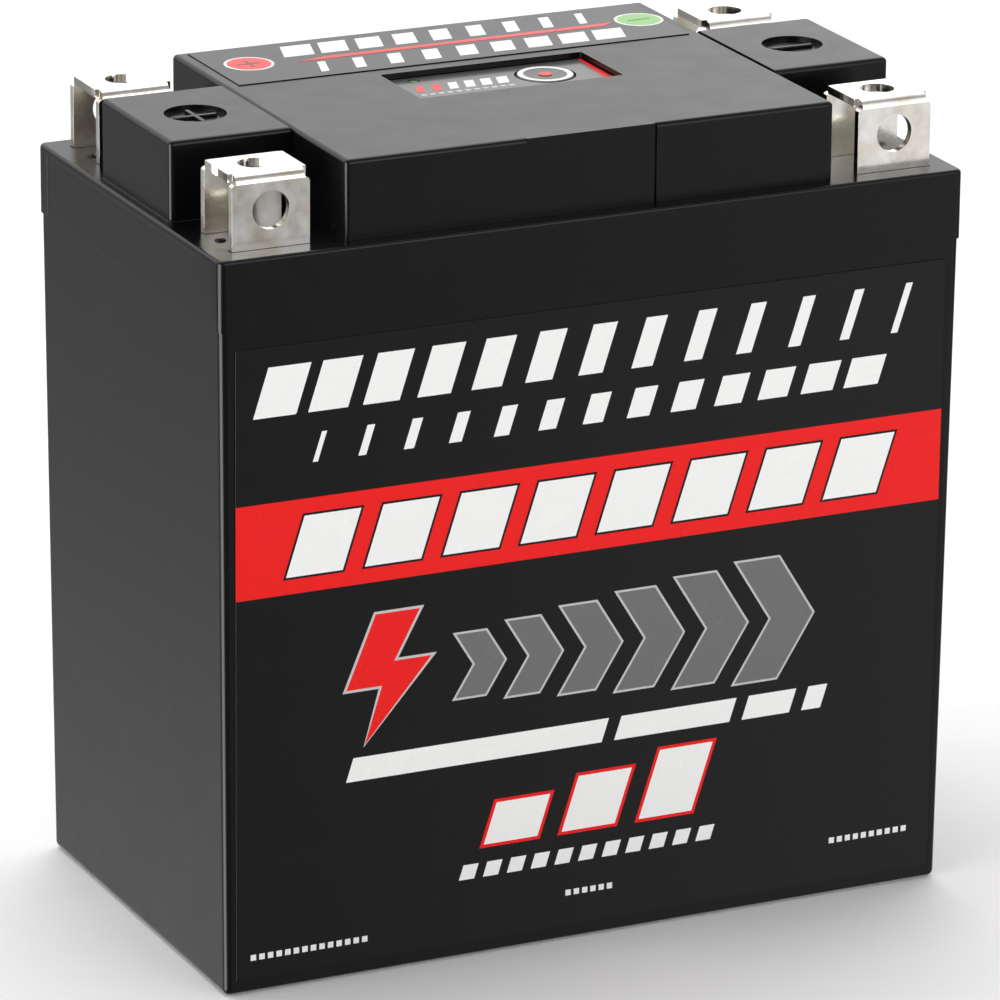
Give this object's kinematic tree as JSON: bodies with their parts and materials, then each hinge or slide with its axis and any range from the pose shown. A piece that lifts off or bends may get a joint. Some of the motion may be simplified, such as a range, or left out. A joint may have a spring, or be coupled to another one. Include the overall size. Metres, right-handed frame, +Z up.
{
  "type": "motorcycle battery",
  "caption": "Sealed black motorcycle starter battery with a raised centre cover, folded strap terminals and a recessed push button.",
  "frame": {"origin": "middle of the bottom face of the case", "axes": "+Z up, -Y out of the labelled front, +X to the negative side; the positive terminals are at -X"},
  "size_m": [0.15, 0.086, 0.1562],
  "materials": {
    "housing_plastic": "black ABS with a fine satin grain",
    "label_foil": "glossy printed foil",
    "panel_foil": "glossy printed foil",
    "terminal_nickel": "bright nickel plate",
    "button_plastic": "glossy",
    "switch_steel": "stamped",
    "seal_rubber": "matte",
    "screw_steel": "zinc plated",
    "standoff_brass": "turned",
    "circuit_board": "solder mask",
    "flex_film": "polyimide film",
    "connector_plastic": "moulded",
    "cell_can": "shrink sleeve",
    "holder_plastic": "moulded",
    "link_nickel": "nickel strip",
    "copper": "copper",
    "chip_plastic": "moulded epoxy",
    "spreader_aluminium": "milled",
    "capacitor_can": "sleeved can",
    "light_pipe": "tinted clear",
    "foam": "closed-cell foam"
  },
  "bodies": {
    "battery": {"battery_case": "housing_plastic", "lid": "housing_plastic", "centre_cover": "housing_plastic", "terminal_positive_front": "terminal_nickel", "terminal_positive_rear": "terminal_nickel", "terminal_negative_front": "terminal_nickel", "terminal_negative_rear": "terminal_nickel", "front_label": "label_foil", "rear_label": "label_foil", "top_label": "label_foil", "panel_label": "panel_foil", "status_light": "light_pipe", "lid_seal": "seal_rubber", "cover_screws": "screw_steel", "switch_housing": "switch_steel", "button_board": "circuit_board", "button_board_screws": "screw_steel", "status_led_chip": "chip_plastic", "button_flex": "flex_film", "balance_flex": "flex_film", "flex_connectors": "connector_plastic", "cell_1": "cell_can", "cell_2": "cell_can", "cell_3": "cell_can", "cell_4": "cell_can", "cell_5": "cell_can", "cell_6": "cell_can", "cell_7": "cell_can", "cell_8": "cell_can", "cell_holder_lower": "holder_plastic", "cell_holder_upper": "holder_plastic", "holder_tie_rods": "screw_steel", "link_positive": "link_nickel", "link_1_2": "link_nickel", "link_2_3": "link_nickel", "link_3_4": "link_nickel", "link_negative": "link_nickel", "positive_rail": "copper", "negative_rail": "copper", "positive_riser": "copper", "negative_riser": "copper", "rail_screws": "screw_steel", "riser_screws": "screw_steel", "management_board": "circuit_board", "board_feed": "copper", "board_standoffs": "standoff_brass", "board_screws": "screw_steel", "board_mosfets": "chip_plastic", "board_heat_spreader": "spreader_aluminium", "board_capacitors": "capacitor_can", "board_shunt": "copper", "foam_base": "foam", "foam_left": "foam", "foam_right": "foam", "foam_front": "foam", "foam_rear": "foam", "foam_top": "foam"},
    "button": {"restart_button": "button_plastic", "switch_plunger": "button_plastic"}
  },
  "joints": [
    {"name": "button_press", "type": "slide", "parent": "battery", "child": "button", "axis": [0, 0, -1], "range_m": [0, 0.0005], "stiffness_N_per_m": 1000}
  ]
}
